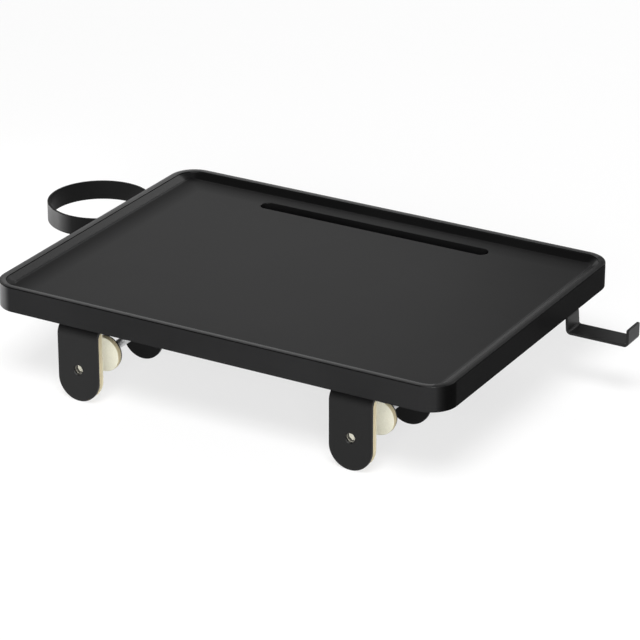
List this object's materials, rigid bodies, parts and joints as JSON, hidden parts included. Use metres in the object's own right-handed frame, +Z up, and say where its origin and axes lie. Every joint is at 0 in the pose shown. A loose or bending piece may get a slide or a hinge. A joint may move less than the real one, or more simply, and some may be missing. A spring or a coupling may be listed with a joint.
{
  "type": "laptop bed table",
  "caption": "Rimmed laptop tray with a tablet groove, on U-shaped screw clamps that grip a bed rail, with a ring cup holder at one side and a hook at the other.",
  "frame": {"origin": "seat of the bed's rail: midway between the clamps, in the plane of the fixed jaws' pads, level with the underside of the clamps' bridges", "axes": "+X to the right along the tray's front edge, +Y from the front to the back, +Z up"},
  "size_m": [0.5977, 0.318, 0.0931],
  "materials": {
    "black_lacquer": "satin black lacquer on a milled board",
    "black_powder_coat": "satin black powder coat on steel",
    "cream_felt": "dense cream felt with a tan edge",
    "zinc_steel": "bright zinc plate",
    "black_plastic": "moulded matte black plastic",
    "black_screw": "blackened steel"
  },
  "bodies": {
    "table": {"tray_board": "black_lacquer", "left_clamp_bracket": "black_powder_coat", "right_clamp_bracket": "black_powder_coat", "left_jaw_pad": "cream_felt", "right_jaw_pad": "cream_felt", "left_screw_nut": "zinc_steel", "right_screw_nut": "zinc_steel", "left_bracket_screw_1": "black_screw", "left_bracket_screw_2": "black_screw", "left_bracket_screw_3": "black_screw", "left_bracket_screw_4": "black_screw", "right_bracket_screw_1": "black_screw", "right_bracket_screw_2": "black_screw", "right_bracket_screw_3": "black_screw", "right_bracket_screw_4": "black_screw", "cup_ring": "black_powder_coat", "ring_screw_1": "black_screw", "ring_screw_2": "black_screw", "side_hook": "black_powder_coat", "hook_screw_1": "black_screw", "hook_screw_2": "black_screw"},
    "left_pad": {"left_pressure_plate": "black_powder_coat", "left_pressure_pad": "cream_felt"},
    "left_screw": {"left_clamp_screw": "zinc_steel", "left_screw_clip": "zinc_steel", "left_hand_knob": "black_plastic"},
    "right_pad": {"right_pressure_plate": "black_powder_coat", "right_pressure_pad": "cream_felt"},
    "right_screw": {"right_clamp_screw": "zinc_steel", "right_screw_clip": "zinc_steel", "right_hand_knob": "black_plastic"}
  },
  "joints": [
    {"name": "left_pad_advance", "type": "slide", "parent": "table", "child": "left_pad", "axis": [0, -1, 0], "range_m": [-0.0508, 0.0285]},
    {"name": "left_screw_turn", "type": "hinge", "parent": "left_pad", "child": "left_screw", "pos_m": [-0.1327, 0.0288, -0.038], "axis": [0, -1, 0], "range_deg": [-14632, 8209]},
    {"name": "right_pad_advance", "type": "slide", "parent": "table", "child": "right_pad", "axis": [0, -1, 0], "range_m": [-0.0433, 0.036]},
    {"name": "right_screw_turn", "type": "hinge", "parent": "right_pad", "child": "right_screw", "pos_m": [0.1327, 0.0363, -0.038], "axis": [0, -1, 0], "range_deg": [-12472, 10369]}
  ],
  "couplings": [
    {"joint": "left_screw_turn", "follows": "left_pad_advance", "rad_per_m": 5026.5},
    {"joint": "right_screw_turn", "follows": "right_pad_advance", "rad_per_m": 5026.5}
  ]
}
